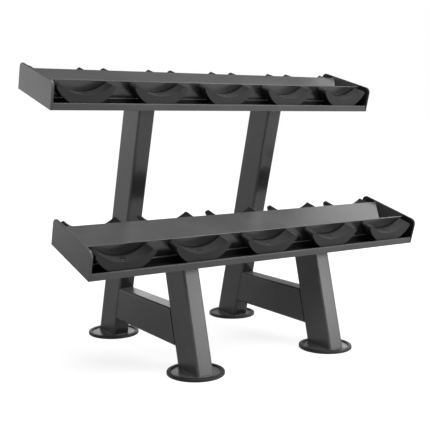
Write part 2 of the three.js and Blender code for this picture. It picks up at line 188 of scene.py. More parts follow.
@dataclass(frozen=True)
class Finish:
    """What every finish has: a name, two close shades, a gloss and a surface grain.

    The colour drifts slowly between the two shades. The gloss varies with the same drift, and the
    grain lifts the surface by a few hundredths of a millimetre. The three shares say how much of a
    finer pattern is mixed into a coarser one.
    """

    name: str
    shade: str
    light_shade: str
    roughness: float
    roughness_spread: float = 0.04
    metallic: float = 0.0
    specular: float = 0.5
    drift_mm: float = 160.0
    grain_mm: float = 4.0
    grain_height_mm: float = 0.05
    grain_strength: float = 0.2
    fine_mm: float = 1.2
    noise_roughness: float = 0.55
    fine_share: float = 0.35
    colour_share: float = 0.25
    gloss_share: float = 0.5
    shade_span: tuple[float, float] = (0.42, 0.82)

    def build(self) -> Material:
        """Makes the material from its nodes.

        Returns:
            The material.
        """
        material = bpy.data.materials.new(self.name)
        tree = clear_tree(material)
        place = add_node(tree, "ShaderNodeTexCoord").outputs["Object"]
        drift, grain, fine = (
            add_node(
                tree,
                "ShaderNodeTexNoise",
                {"Scale": per_metre(size), "Detail": detail, "Roughness": self.noise_roughness},
                {"Vector": place},
            ).outputs[0]
            for size, detail in ((self.drift_mm, 3.0), (self.grain_mm, 2.0), (self.fine_mm, 1.0))
        )
        height = self.mixed(tree, fine, grain, self.fine_share)
        bump = add_node(
            tree,
            "ShaderNodeBump",
            {"Strength": self.grain_strength, "Distance": self.grain_height_mm * MM},
            {"Height": height},
        )
        shader = add_node(
            tree,
            "ShaderNodeBsdfPrincipled",
            {"Metallic": self.metallic, "Specular IOR Level": self.specular},
            {
                "Base Color": self.colour(tree, drift, grain),
                "Roughness": self.gloss(tree, drift, grain),
                "Normal": bump.outputs["Normal"],
            },
        )
        self.dress(shader)
        add_node(tree, "ShaderNodeOutputMaterial", links={"Surface": shader.outputs["BSDF"]})
        return material

    def mixed(
        self, tree: NodeTree, finer: NodeSocket, coarser: NodeSocket, share: float
    ) -> NodeSocket:
        """Adds a share of a finer pattern to a coarser one.

        Args:
            tree: the material's node tree.
            finer: the pattern of which a share is added.
            coarser: the pattern that it is added to.
            share: how much of it.

        Returns:
            The output that gives the sum.
        """
        settings = {"operation": "MULTIPLY_ADD", 1: share}
        return add_node(tree, "ShaderNodeMath", settings, {0: finer, 2: coarser}).outputs[0]

    def colour(self, tree: NodeTree, drift: NodeSocket, grain: NodeSocket) -> NodeSocket:
        """Blends the two shades along the drift, with a trace of the grain in it.

        Args:
            tree: the material's node tree.
            drift: the slow pattern.
            grain: the surface grain.

        Returns:
            The output that gives the colour.
        """
        blend = self.mixed(tree, grain, drift, self.colour_share)
        ramp = add_node(tree, "ShaderNodeValToRGB", links={"Fac": blend})
        shades = (self.shade, self.light_shade)
        for stop, place, shade in zip(ramp.color_ramp.elements, self.shade_span, shades):
            stop.position, stop.color = place, linear(shade)
        return ramp.outputs["Color"]

    def gloss(self, tree: NodeTree, drift: NodeSocket, grain: NodeSocket) -> NodeSocket:
        """Lets the roughness wander about its middle value.

        Args:
            tree: the material's node tree.
            drift: the slow pattern.
            grain: the surface grain.

        Returns:
            The output that gives the roughness.
        """
        blend = self.mixed(tree, grain, drift, self.gloss_share)
        spread = {
            "From Min": 0.5,
            "From Max": 1.0,
            "To Min": self.roughness - self.roughness_spread,
            "To Max": self.roughness + self.roughness_spread,
        }
        return add_node(tree, "ShaderNodeMapRange", spread, {"Value": blend}).outputs["Result"]

    def dress(self, shader: Node) -> None:
        """Sets what one finish has and the others don't. A plain finish has nothing more."""


@dataclass(frozen=True)
class PowderCoat(Finish):
    """Polyester powder baked on steel: satin, with the faint ripple called orange peel."""

    coat: float = 0.02
    coat_roughness: float = 0.3

    def dress(self, shader: Node) -> None:
        """Gives the paint its clear, slightly glossier skin."""
        shader.inputs["Coat Weight"].default_value = self.coat
        shader.inputs["Coat Roughness"].default_value = self.coat_roughness


# Charcoal polyester powder coat. The eye sees a satin dark grey that lightens at a flat angle.
# Real orange peel is 1 to 2 mm across. It is drawn at 6 mm as well, so that it shows.
CHARCOAL_COAT = PowderCoat(
    name="charcoal_powder_coat",
    shade="#444444",
    light_shade="#4c4c4c",
    roughness=0.33,
    specular=0.27,
    grain_mm=6.0,
    fine_mm=1.6,
    grain_height_mm=0.06,
    grain_strength=0.15,
)

# A near-black copy of the same coat: painted shade on the tray's floor, the spine base's walls,
# the end plates' inner faces beside the spine and the right plate's edges.
BLACK_PAINTED_SHADE_COAT = replace(
    CHARCOAL_COAT,
    name="black_painted_shade_coat",
    shade="#141414",
    light_shade="#1a1a1a",
    roughness=0.42,
    specular=0.1,
    grain_height_mm=0.04,
    grain_strength=0.12,
    coat=0.0,
)

# A darker, glossier copy of the same coat for the spine's walls and the uprights' front and rear
# faces: its darker colour is painted shade, and its lower roughness lets those faces mirror what
# is near.
GLOSSY_PAINTED_SHADE_COAT = replace(
    CHARCOAL_COAT,
    name="glossy_painted_shade_coat",
    shade="#242424",
    light_shade="#2a2a2a",
    roughness=0.2,
    specular=0.5,
    grain_height_mm=0.04,
    grain_strength=0.12,
)

# Polypropylene moulded in a spark-eroded tool: dull black with an even fine grain.
MOULDED_POLYPROPYLENE = Finish(
    name="moulded_polypropylene",
    shade="#191919",
    light_shade="#202020",
    roughness=0.5,
    specular=0.26,
    grain_mm=2.4,
    fine_mm=0.9,
    grain_height_mm=0.12,
    grain_strength=0.35,
)

# Vulcanised rubber from a polished mould: black, a little dusty on its flats.
MOULDED_RUBBER = Finish(
    name="moulded_rubber",
    shade="#161616",
    light_shade="#1e1e1e",
    roughness=0.5,
    specular=0.32,
    drift_mm=60.0,
    grain_mm=3.0,
    grain_height_mm=0.1,
    grain_strength=0.3,
)

# Steel blackened in hot oxide and oiled: dark, and still plainly metal.
BLACK_OXIDE_STEEL = Finish(
    name="black_oxide_steel",
    shade="#3f4042",
    light_shade="#4b4c4e",
    roughness=0.4,
    metallic=1.0,
    drift_mm=9.0,
    grain_mm=2.0,
    grain_height_mm=0.03,
)

# Bright zinc plating: cool silver that is cloudy from bolt to bolt.
ZINC_PLATED_STEEL = Finish(
    name="zinc_plated_steel",
    shade="#a3a6a8",
    light_shade="#babdc0",
    roughness=0.28,
    metallic=1.0,
    drift_mm=7.0,
    grain_mm=1.5,
    grain_height_mm=0.03,
)


@dataclass
class Paintshop:
    """Makes each finish once and hands it out for the slot that it belongs to."""

    finishes: dict[Slot, Finish] = field(
        default_factory=lambda: {
            Slot.COAT: CHARCOAL_COAT,
            Slot.SADDLE: MOULDED_POLYPROPYLENE,
            Slot.FOOT: MOULDED_RUBBER,
            Slot.BLACK: BLACK_OXIDE_STEEL,
            Slot.ZINC: ZINC_PLATED_STEEL,
        }
    )
    made: dict[str, Material] = field(default_factory=dict)

    def material(self, finish: Finish) -> Material:
        """A finish's material, made when it is first asked for.

        Args:
            finish: the finish.

        Returns:
            Its material.
        """
        if finish.name not in self.made:
            self.made[finish.name] = finish.build()
        return self.made[finish.name]

    def repaint(self, obj: Object, finish: Finish) -> None:
        """Gives an object one finish in place of its own.

        Args:
            obj: the object.
            finish: the finish that it takes.
        """
        obj.data.materials.clear()
        obj.data.materials.append(self.material(finish))
        log.info("repainted %s in %s", obj.name, finish.name)


# ------------------------------------------------------------------ shaping

Test = Callable[[Vector, Vector], bool]


def add_object(name: str, data: ID) -> Object:
    """Puts a mesh, a lamp or a camera in the scene.

    Args:
        name: the object's name.
        data: the mesh, the lamp or the camera.

    Returns:
        The object.
    """
    obj = bpy.data.objects.new(name, data)
    bpy.context.scene.collection.objects.link(obj)
    return obj


def only(kind: type, items: Iterable[object]) -> list:
    """The items of that kind."""
    return [item for item in items if isinstance(item, kind)]


def block(bm: BMesh, low: Sequence[float], high: Sequence[float]) -> None:
    """Adds a box.

    Args:
        bm: the mesh that it joins.
        low: one corner.
        high: the opposite corner.
    """
    corner, other = Vector(low), Vector(high)
    made = bmesh.ops.create_cube(bm, size=1.0)["verts"]
    bmesh.ops.scale(bm, vec=other - corner, verts=made)
    bmesh.ops.translate(bm, vec=(corner + other) / 2, verts=made)


def sharp_edges(bm: BMesh, above: float = 50.0) -> list[BMEdge]:
    """Picks the edges whose two faces turn by more than that many degrees."""
    limit = math.radians(above)
    return [e for e in bm.edges if len(e.link_faces) == 2 and e.calc_face_angle() > limit]


def round_edges(bm: BMesh, edges: Iterable[BMEdge], radius: float, segments: int = 3) -> None:
    """Rounds edges.

    Args:
        bm: the mesh.
        edges: the edges to round.
        radius: the rounding's radius.
        segments: how many flat steps it has.
    """
    bmesh.ops.bevel(
        bm,
        geom=list(edges),
        offset=radius,
        offset_type="OFFSET",
        segments=segments,
        profile=0.5,
        affect="EDGES",
        clamp_overlap=True,
        material=-1,
    )


def round_where(bm: BMesh, radius: float, test: Test, segments: int) -> None:
    """Rounds edges by where they lie and which way they run.

    Args:
        bm: the mesh.
        radius: the rounding's radius.
        test: takes an edge's middle and its direction, with no negative part, and says whether
            the edge is rounded.
        segments: how many flat steps it has.
    """
    found = []
    for edge in bm.edges:
        start, end = (vert.co for vert in edge.verts)
        way = (end - start).normalized()
        if test((start + end) / 2, Vector([abs(part) for part in way])):
            found.append(edge)
    round_edges(bm, found, radius, segments)


def cut_away(bm: BMesh, point: Vector, outward: Vector) -> None:
    """Cuts off what lies beyond a plane, and closes the cut.

    Args:
        bm: the mesh.
        point: a point on the plane.
        outward: the plane's normal, towards the part that goes.
    """
    geometry = [*bm.verts, *bm.edges, *bm.faces]
    bmesh.ops.bisect_plane(
        bm, geom=geometry, dist=CUT_REACH, plane_co=point, plane_no=outward, clear_outer=True
    )
    open_edges = [edge for edge in bm.edges if edge.is_boundary]
    bmesh.ops.holes_fill(bm, edges=open_edges, sides=0)


def score(bm: BMesh, faces: Iterable[BMFace], point: Vector, normal: Vector) -> None:
    """Divides faces along a plane and takes nothing away.

    Args:
        bm: the mesh.
        faces: the faces to divide.
        point: a point on the plane.
        normal: the plane's normal.
    """
    chosen = list(faces)
    edges = {edge for face in chosen for edge in face.edges}
    verts = {vert for face in chosen for vert in face.verts}
    geometry = [*chosen, *edges, *verts]
    bmesh.ops.bisect_plane(bm, geom=geometry, dist=CUT_REACH, plane_co=point, plane_no=normal)


def drop_faces(bm: BMesh, test: Test) -> None:
    """Removes the faces whose middle and normal pass the test."""
    gone = [face for face in bm.faces if test(face.calc_center_median(), face.normal)]
    bmesh.ops.delete(bm, geom=gone, context="FACES")


def walls(bm: BMesh) -> list[BMFace]:
    """The faces that look forwards or backwards."""
    bm.normal_update()
    return [face for face in bm.faces if abs(face.normal.y) > ALONG]


def mark(faces: Iterable[BMFace]) -> None:
    """Marks faces for their piece's second finish."""
    for face in faces:
        face.material_index = 1


def give_thickness(bm: BMesh, wall: float) -> None:
    """Turns an open skin into a wall that grows inwards.

    Args:
        bm: the skin, whose faces point outwards.
        wall: the wall's thickness.
    """
    bm.normal_update()
    bmesh.ops.solidify(bm, geom=bm.faces[:], thickness=wall)
    bmesh.ops.recalc_face_normals(bm, faces=bm.faces[:])


def turn(bm: BMesh, profile: Sequence[tuple[float, float]], sides: int) -> None:
    """Spins a profile once round the Z axis.

    Args:
        bm: the mesh that it joins.
        profile: (radius, height) points, from axis to axis.
        sides: how many flat steps the round has.
    """
    before = set(bm.verts)
    points = [bm.verts.new((radius, 0, height)) for radius, height in profile]
    lines = [bm.edges.new(pair) for pair in pairwise(points)]
    bmesh.ops.spin(
        bm,
        geom=[*points, *lines],
        cent=(0, 0, 0),
        axis=(0, 0, 1),
        dvec=(0, 0, 0),
        angle=ALL_ROUND,
        steps=sides,
        use_merge=True,
        use_normal_flip=False,
        use_duplicate=False,
    )
    made = [vert for vert in bm.verts if vert not in before]
    bmesh.ops.remove_doubles(bm, verts=made, dist=WELD_REACH)
    made = [vert for vert in bm.verts if vert not in before]
    faces = {face for vert in made for face in vert.link_faces}
    bmesh.ops.recalc_face_normals(bm, faces=list(faces))


def sweep_point(
    bm: BMesh, point: Vector, centre: Vector, angle: float, steps: int
) -> tuple[BMVert, BMVert]:
    """Draws an arc of edges in a plane square to Y by spinning one point.

    Args:
        bm: the mesh that the arc joins.
        point: where the arc starts.
        centre: the arc's centre.
        angle: how far it runs, from -Z towards +X, in radians.
        steps: how many edges it has.

    Returns:
        The arc's first and last vertex.
    """
    first = bm.verts.new(point)
    swept = bmesh.ops.spin(
        bm,
        geom=[first],
        cent=centre,
        axis=(0, -1, 0),
        dvec=(0, 0, 0),
        angle=angle,
        steps=steps,
        use_merge=False,
        use_normal_flip=False,
        use_duplicate=False,
    )
    return first, only(BMVert, swept["geom_last"])[0]


def mesh_from(bm: BMesh, name: str) -> Mesh:
    """Turns a bmesh into a mesh with smooth faces that break at sharp edges.

    Args:
        bm: the bmesh, which is freed.
        name: the mesh's name.

    Returns:
        The mesh.
    """
    bm.normal_update()
    for face in bm.faces:
        face.smooth = True
    for edge in sharp_edges(bm, above=SOFT_TURN):
        edge.smooth = False
    mesh = bpy.data.meshes.new(name)
    bm.to_mesh(mesh)
    bm.free()
    return mesh


def combined(bm: BMesh, other: BMesh, operation: str) -> BMesh:
    """Joins two closed shapes into one, or cuts the second out of the first.

    Args:
        bm: the first shape, which is freed.
        other: the second shape, which is freed.
        operation: "UNION" or "DIFFERENCE".

    Returns:
        The one closed shape that comes of it.
    """
    shapes = {"first": bm, "second": other}
    objects = [add_object(name, mesh_from(shape, name)) for name, shape in shapes.items()]
    body, tool = objects
    work = body.modifiers.new("Combine", "BOOLEAN")
    work.operation = operation
    work.solver = "EXACT"
    work.object = tool
    bpy.context.view_layer.update()
    shaped = body.evaluated_get(bpy.context.evaluated_depsgraph_get())
    result = bmesh.new()
    result.from_mesh(shaped.data)
    for obj in objects:
        mesh = obj.data
        bpy.data.objects.remove(obj)
        bpy.data.meshes.remove(mesh)
    return result


@dataclass
class Workshop:
    """Turns shapes into finished pieces that ride on the rack."""

    paint: Paintshop

    def finish(
        self,
        name: str,
        bm: BMesh,
        place: Matrix,
        slot: Slot,
        nodes: Sequence[str] = (),
        marked: Finish | None = None,
    ) -> None:
        """Puts a shape in its place, dresses it, and lets it stand for the rack's solids.

        Args:
            name: the piece's name.
            bm: the shape, in millimetres, which is freed.
            place: where its own frame lies in the rack, in metres.
            slot: the slot whose finish it takes.
            nodes: the solids that it stands for.
            marked: the finish of the faces whose material index is 1.
        """
        bmesh.ops.transform(bm, matrix=place @ Matrix.Scale(MM, 4), verts=bm.verts[:])
        piece = add_object(name, mesh_from(bm, name))
        for finish in (self.paint.finishes[slot], marked):
            if finish:
                piece.data.materials.append(self.paint.material(finish))
        normals = piece.modifiers.new("Even shading", "WEIGHTED_NORMAL")
        normals.keep_sharp = True
        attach(piece, ROOT)
        if nodes:
            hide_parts(*nodes)
        log.info("made %s, %d faces", name, len(piece.data.polygons))


def box_mm(node: str) -> tuple[Vector, Vector, Vector]:
    """A solid's box in millimetres.

    Args:
        node: the solid's name.

    Returns:
        Its lowest corner, its highest corner and its middle.
    """
    low, high = (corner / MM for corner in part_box(node))
    return low, high, (low + high) / 2


# ------------------------------------------------------------------ fasteners


@dataclass(frozen=True)
class SocketScrew:
    """A low round-headed screw with a hexagon socket. Its head's underside is at height 0."""

    head_diameter: float = 16.0
    head_height: float = 4.4
    crown: float = 1.6
    socket_width: float = 6.0
    socket_depth: float = 2.5
    shank_diameter: float = 8.0
    shank_length: float = 6.0
    sides: int = 24
    # Each step of the crown: its width against the last one's, and its share of the height.
    crown_steps: tuple[tuple[float, float], ...] = ((0.84, 0.72), (0.72, 0.28))

    def shape(self) -> BMesh:
        """Makes the screw.

        Returns:
            The screw, standing on Z.
        """
        bm = bmesh.new()
        rim_height = self.head_height - self.crown
        outer = bmesh.ops.create_circle(
            bm,
            segments=self.sides,
            radius=self.head_diameter / 2,
            matrix=Matrix.Translation((0, 0, rim_height)),
        )["verts"]
        rim = self.ring(outer)
        foot = self.pull(bm, rim, lift=-rim_height)
        neck = self.pull(bm, foot, scale=self.shank_diameter / self.head_diameter)
        tip = self.pull(bm, neck, lift=-self.shank_length)
        bmesh.ops.holes_fill(bm, edges=tip, sides=0)
        crown = rim
        for width, share in self.crown_steps:
            crown = self.pull(bm, crown, scale=width, lift=self.crown * share)
        socket = bmesh.ops.create_circle(
            bm,
            segments=6,
            radius=self.socket_width / 2,
            matrix=Matrix.Translation((0, 0, self.head_height)),
        )["verts"]
        bmesh.ops.subdivide_edges(bm, edges=self.ring(socket), cuts=self.sides // 6 - 1)
        hexagon = [edge for edge in bm.edges if edge.is_wire]
        bmesh.ops.bridge_loops(bm, edges=[*crown, *hexagon])
        bottom = self.pull(bm, hexagon, lift=-self.socket_depth)
        bmesh.ops.holes_fill(bm, edges=bottom, sides=0)
        bmesh.ops.recalc_face_normals(bm, faces=bm.faces[:])
        return bm

    def ring(self, verts: Sequence[BMVert]) -> list[BMEdge]:
        """The edges that join a ring of vertices.

        Args:
            verts: the vertices.

        Returns:
            The edges.
        """
        chosen = set(verts)
        edges = {edge for vert in chosen for edge in vert.link_edges}
        return [edge for edge in edges if set(edge.verts) <= chosen]

    def pull(
        self, bm: BMesh, edges: Iterable[BMEdge], scale: float = 1.0, lift: float = 0.0
    ) -> list[BMEdge]:
        """Extrudes a ring of edges.

        Args:
            bm: the mesh.
            edges: the ring.
            scale: the new ring's size against the old one's.
            lift: how far the new ring lies above the old one.

        Returns:
            The new ring's edges.
        """
        made = bmesh.ops.extrude_edge_only(bm, edges=list(edges))["geom"]
        verts = only(BMVert, made)
        bmesh.ops.scale(bm, vec=(scale, scale, 1), verts=verts)
        bmesh.ops.translate(bm, vec=(0, 0, lift), verts=verts)
        return only(BMEdge, made)


@dataclass(frozen=True)
class HeadBolt:
    """The bolt that holds a tray on a post, with its washer and nut. The tray's underside is 0."""

    diameter: float = 10.0
    head_diameter: float = 18.0
    floor_thickness: float = 4.0
    grip: float = 8.6
    washer_diameter: float = 20.0
    washer_thickness: float = 1.6
    nut_width: float = 17.0
    nut_height: float = 6.4
    nut_edge: float = 0.8
    tail: float = 4.0
    thread_pitch: float = 1.5
    thread_depth: float = 0.8
    thread_end: float = 1.0
    bolt_sides: int = 24
    washer_sides: int = 32

    def shape(self) -> BMesh:
        """Makes the bolt, the washer and the nut.

        Returns:
            The three shapes in one mesh.
        """
        bm = bmesh.new()
        radius, depth = self.diameter / 2, self.thread_depth
        nut_top = -self.grip - self.washer_thickness
        nut_bottom = nut_top - self.nut_height
        end = nut_bottom - self.tail
        crests = int(self.tail / self.thread_pitch)
        thread = [
            (radius - (depth if step % 2 else 0.0), end + depth + step * self.thread_pitch / 2)
            for step in range(2 * crests)
        ]
        profile = [
            (0, end),
            (radius - depth, end),
            *thread,
            (radius, nut_bottom + self.thread_end),
            (radius, 0),
            (self.head_diameter / 2, self.floor_thickness),
            (0, self.floor_thickness),
        ]
        turn(bm, profile, self.bolt_sides)
        washer = self.washer_diameter / 2
        ring = [(0, nut_top), (washer, nut_top), (washer, -self.grip), (0, -self.grip)]
        turn(bm, ring, self.washer_sides)
        corners = self.nut_width / 2 / math.cos(math.pi / 6)
        nut = bmesh.ops.create_cone(
            bm,
            cap_ends=True,
            segments=6,
            radius1=corners,
            radius2=corners,
            depth=self.nut_height,
            matrix=Matrix.Translation((0, 0, (nut_top + nut_bottom) / 2)),
        )["verts"]
        edges = {edge for vert in nut for edge in vert.link_edges}
        lower = [e for e in edges if max(vert.co.z for vert in e.verts) < nut_bottom + NEAR]
        round_edges(bm, lower, self.nut_edge, segments=2)
        return bm


# ------------------------------------------------------------------ saddle


@dataclass(frozen=True)
class Saddle:
    """One moulding: a cup before the spine, a cup behind it, and a bridge under it."""

    outer_radius: float = 113.5
    outer_bottom: float = 10.5
    bowl_radius: float = 131.0
    bowl_bottom: float = 46.5
    tip_height: float = 79.5
    tip_drop: float = 6.0
    tip_round: float = 7.0
    lip_round: float = 2.2
    rim_round: float = 2.4
    foot_width: float = 100.0
    floor_top: float = 4.3
    inside: float = 85.0
    outside: float = 133.0
    bridge_thickness: float = 13.0
    bridge_inset: float = 0.5
    bridge_lift: float = 0.1
    bridge_overlap: float = 1.0
    screw: SocketScrew = SocketScrew()
    screw_clearance: float = 0.6
    screw_gap: float = 0.3
    seat_depth: float = 5.5
    seat_rim_depth: float = 0.4
    seat_flare: float = 1.2
    seat_sides: int = 48
    drill_top: float = 90.0
    arc_steps: int = 20

    @property
    def screw_place(self) -> Vector:
        """Where the screw's head sits, on the floor of its counterbore."""
        middle = -(self.inside + self.outside) / 2
        return Vector((0, middle, self.bowl_bottom - self.seat_depth + self.screw_gap))

    def shape(self) -> BMesh:
        """Makes the moulding, about the middle of its width.

        Returns:
            The moulding.
        """
        bridge = bmesh.new()
        half = self.foot_width / 2 - self.bridge_inset
        reach = self.inside + self.bridge_overlap
        bottom = self.floor_top + self.bridge_lift
        top = self.floor_top + self.bridge_thickness
        block(bridge, (-half, -reach, bottom), (half, reach, top))
        front = combined(self.cup(-self.outside, -self.inside), self.drill(), "DIFFERENCE")
        rear = combined(self.cup(self.inside, self.outside), bridge, "UNION")
        return combined(front, rear, "UNION")

    def drill(self) -> BMesh:
        """Makes the shape that is cut out of the front cup for the screw.

        Returns:
            The counterbore with its flared rim, open to above the cup.
        """
        bm = bmesh.new()
        bore = self.screw.head_diameter / 2 + self.screw_clearance
        flare = bore + self.seat_flare
        seat = self.bowl_bottom - self.seat_depth
        rim = self.bowl_bottom - self.seat_rim_depth
        profile = [
            (0, seat),
            (bore, seat),
            (bore, rim),
            (flare, rim + self.seat_flare),
            (flare, self.drill_top),
            (0, self.drill_top),
        ]
        turn(bm, profile, self.seat_sides)
        bmesh.ops.translate(bm, vec=(0, self.screw_place.y, 0), verts=bm.verts[:])
        return bm

    def cup(self, front: float, back: float) -> BMesh:
        """Makes one cup.

        Args:
            front: where its front face lies.
            back: where its rear face lies.

        Returns:
            The cup, with sloped tips and rounded rims.
        """
        bm = bmesh.new()
        outer_centre = Vector((0, front, self.outer_bottom + self.outer_radius))
        bowl_centre = Vector((0, front, self.bowl_bottom + self.bowl_radius))
        corner_height = self.tip_height - self.tip_drop
        corner = math.acos((outer_centre.z - corner_height) / self.outer_radius)
        lip = math.acos((bowl_centre.z - self.tip_height) / self.bowl_radius)
        start = math.asin(self.foot_width / 2 / self.outer_radius)
        shoulder = corner - self.tip_round / self.outer_radius
        steps = self.arc_steps
        rise = shoulder - start
        right, left = (
            sweep_point(
                bm, self.on_arc(outer_centre, self.outer_radius, angle), outer_centre, rise, steps
            )
            for angle in (start, -shoulder)
        )
        bowl = sweep_point(
            bm, self.on_arc(bowl_centre, self.bowl_radius, lip), bowl_centre, -2 * lip, 2 * steps
        )
        ends = [
            bm.verts.new(self.on_arc(outer_centre, self.outer_radius, angle))
            for angle in (corner, -corner)
        ]
        half = self.foot_width / 2
        feet = [bm.verts.new((x, front, self.floor_top)) for x in (-half, half)]
        chains = (
            (right[1], ends[0], bowl[0]),
            (bowl[1], ends[1], left[0]),
            (left[1], *feet, right[0]),
        )
        for pair in (pair for chain in chains for pair in pairwise(chain)):
            bm.edges.new(pair)
        bmesh.ops.contextual_create(bm, geom=bm.edges[:])
        raised = bmesh.ops.extrude_face_region(bm, geom=bm.faces[:])["geom"]
        bmesh.ops.translate(bm, vec=(0, back - front, 0), verts=only(BMVert, raised))
        bmesh.ops.recalc_face_normals(bm, faces=bm.faces[:])
        spots = (
            (ends[0].co.x, corner_height, self.tip_round),
            (bowl[0].co.x, self.tip_height, self.lip_round),
        )
        for x, height, radius in spots:
            round_where(
                bm,
                radius,
                lambda mid, way: way.y > ALONG
                and abs(abs(mid.x) - x) < NEAR
                and abs(mid.z - height) < NEAR,
                segments=5,
            )
        round_where(
            bm,
            self.rim_round,
            lambda mid, way: way.y < ALONG
            and min(abs(mid.y - front), abs(mid.y - back)) < NEAR
            and mid.z > self.floor_top + NEAR,
            segments=4,
        )
        return bm

    def on_arc(self, centre: Vector, radius: float, angle: float) -> Vector:
        """The point on an arc at an angle from straight down, towards +X."""
        return centre + Vector((math.sin(angle), 0, -math.cos(angle))) * radius


# ------------------------------------------------------------------ tray


@dataclass
class Tray:
    """One tray with everything on it, and the plates and bolts under it."""

    tier: Tier
    shop: Workshop
    tilt: float = 15.0
    width: float = 1300.0
    depth: float = 280.0
    gap: float = 0.3
    floor_thickness: float = 4.0
    rail_height: float = 22.4
    rail_thickness: float = 6.0
    rail_edge: float = 2.5
    bar_edge: float = 0.8
    plate_height: float = 90.0
    plate_thickness: float = 8.0
    plate_corner: float = 20.0
    plate_edge: float = 1.2
    base_width: float = 164.0
    base_height: float = 22.0
    base_wall: float = 3.0
    base_edge: float = 3.0
    window_margin: float = 1.0
    spine_width: float = 158.0
    spine_height: float = 56.0
    spine_wall: float = 3.0
    spine_corner: float = 2.0
    notch_length: float = 116.0
    notch_depth: float = 141.0
    notch_rim: float = 5.0
    head_plate_thickness: float = 8.0
    head_plate_corner: float = 8.0
    bolt_offset: float = 47.0
    saddle: Saddle = Saddle()
    saddle_count: int = 5
    bolt: HeadBolt = HeadBolt()

    @property
    def name(self) -> str:
        """The tray's name in the rack's solids."""
        return self.tier.value

    @property
    def place(self) -> Matrix:
        """The tray's own frame in the rack, in metres.

        Returns:
            The frame.
        """
        turned = Matrix.Rotation(math.radians(self.tilt), 4, "X")
        middle = box_mm(f"{self.name}_floor_plate")[2]
        floor_middle = turned @ Vector((0, 0, self.floor_thickness / 2))
        return Matrix.Translation((middle - floor_middle) * MM) @ turned

    @property
    def inner_half(self) -> float:
        """From the tray's middle to the inner face of an end plate."""
        return self.width / 2 - self.plate_thickness

    @property
    def base_top(self) -> float:
        """The height of the base channel's top."""
        return self.floor_thickness + self.gap + self.base_height

    def build(self) -> None:
        """Makes every piece of the tray."""
        for side in Side:
            self.make_end_plate(side)
        for end in End:
            self.make_rail(end)
        # The floor plate takes the near-black coat: painted shade for the trough.
        self.shop.paint.repaint(self.solid("floor_plate"), BLACK_PAINTED_SHADE_COAT)
        self.make_spine_base()
        self.make_spine()
        for number in range(1, self.saddle_count + 1):
            self.make_saddle(number)
        for side in Side:
            self.make_head_plate(side)

    def solid(self, part: str) -> Object:
        """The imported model's object for one of the tray's solids."""
        return bpy.data.objects[f"{self.name}_{part}"]

    def make_end_plate(self, side: Side) -> None:
        """Makes the plate that closes one end, with its upper corners rounded.

        Args:
            side: the end that it closes.
        """
        bm = bmesh.new()
        half = self.depth / 2
        faces = sorted((side.sign * self.inner_half, side.sign * self.width / 2))
        block(bm, (faces[0], -half, 0), (faces[1], half, self.plate_height))
        top = self.plate_height - NEAR
        round_where(
            bm, self.plate_corner, lambda mid, way: way.x > ALONG and mid.z > top, segments=12
        )
        round_edges(bm, sharp_edges(bm), self.plate_edge)
        self.mark_painted_shade(bm, side)
        name = f"{self.name}_end_plate_{side.value}"
        self.shop.finish(
            f"{name}_steel", bm, self.place, Slot.COAT, [name], marked=BLACK_PAINTED_SHADE_COAT
        )

    def mark_painted_shade(self, bm: BMesh, side: Side) -> None:
        """Marks an end plate's faces for painted shade: beside the spine, and on the right one's
        edge.

        Args:
            bm: the plate.
            side: the end that it closes.
        """
        bm.normal_update()
        half = self.spine_width / 2
        for line in (-half, half):
            score(bm, self.inner_faces(bm, side), Vector((0, line, 0)), Vector((0, 1, 0)))
        inner = self.inner_faces(bm, side)
        mark(face for face in inner if abs(face.calc_center_median().y) > half)
        # The right plate's edges take painted shade too; the left plate's edges keep the plain
        # coat.
        if side is Side.RIGHT:
            mark(face for face in bm.faces if abs(face.normal.x) < ALONG)

    def inner_faces(self, bm: BMesh, side: Side) -> list[BMFace]:
        """The faces of an end plate that look into the tray."""
        return [face for face in bm.faces if face.normal.x * side.sign < -SQUARE]

    def make_rail(self, end: End) -> None:
        """Makes the flat bar on edge along the front or the rear.

        Args:
            end: where it lies.
        """
        bm = bmesh.new()
        half = self.inner_half - self.gap
        outer = end.sign * self.depth / 2
        faces = sorted((outer, outer - end.sign * self.rail_thickness))
        block(bm, (-half, faces[0], 0), (half, faces[1], self.rail_height))
        round_where(
            bm,
            self.rail_edge,
            lambda mid, way: way.x > ALONG
            and mid.z > self.rail_height - NEAR
            and abs(mid.y - outer) < NEAR,
            segments=5,
        )
        round_where(
            bm,
            self.bar_edge,
            lambda mid, way: way.x > ALONG and self.is_bar_corner(mid, faces),
            segments=2,
        )
        name = f"{self.name}_{end.value}_rail"
        self.shop.finish(f"{name}_bar", bm, self.place, Slot.COAT, [name])

    def is_bar_corner(self, middle: Vector, faces: Sequence[float]) -> bool:
        """Says whether a point lies on one of a rail's sharp long corners."""
        on_face = min(abs(middle.y - face) for face in faces) < NEAR
        return on_face and min(abs(middle.z), abs(middle.z - self.rail_height)) < NEAR

